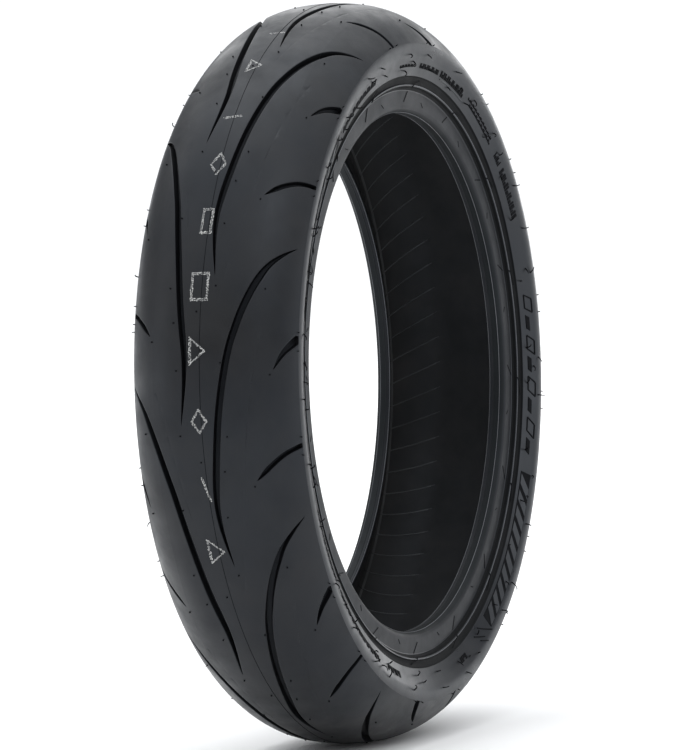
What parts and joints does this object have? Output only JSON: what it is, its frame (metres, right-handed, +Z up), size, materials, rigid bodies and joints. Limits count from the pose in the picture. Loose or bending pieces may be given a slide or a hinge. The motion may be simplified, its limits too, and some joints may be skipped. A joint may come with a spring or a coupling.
{
  "type": "motorcycle tyre",
  "caption": "Wide radial rear tyre for a motorcycle, off its rim, with a round grooved tread, belts, plies and wire beads.",
  "frame": {"origin": "centre of the tyre, on its axle line and middle plane", "axes": "+Y along the axle towards the left side, +Z up, +X across; the wheel turns about Y"},
  "size_m": [0.624, 0.146, 0.624],
  "materials": {
    "tread_rubber": "satin, fine grained, moulded",
    "shoulder_rubber": "satin, moulded",
    "base_rubber": "matt",
    "sidewall_rubber": "satin, moulded",
    "chafer_rubber": "matt, fine fabric print",
    "liner_rubber": "semi-gloss, ribbed by the curing bladder",
    "skim_rubber": "matt",
    "ply_fabric": "rubber-coated cord",
    "belt_cord": "brass-coated cord",
    "bead_wire": "bronze-coated wire"
  },
  "bodies": {
    "root": {"tread_center": "tread_rubber", "tread_shoulder_left": "shoulder_rubber", "tread_shoulder_right": "shoulder_rubber", "tread_base": "base_rubber", "belt_cord": "belt_cord", "belt_rubber": "skim_rubber", "breaker_ply": "ply_fabric", "belt_edge_cushion_left": "base_rubber", "belt_edge_cushion_right": "base_rubber", "carcass_ply_outer": "ply_fabric", "carcass_ply_inner": "ply_fabric", "inner_liner": "liner_rubber", "sidewall_left": "sidewall_rubber", "sidewall_right": "sidewall_rubber", "bead_wires_left": "bead_wire", "bead_wires_right": "bead_wire", "bead_insulation_left": "skim_rubber", "bead_insulation_right": "skim_rubber", "bead_filler_left": "base_rubber", "bead_filler_right": "base_rubber", "chafer_left": "chafer_rubber", "chafer_right": "chafer_rubber"}
  },
  "joints": []
}
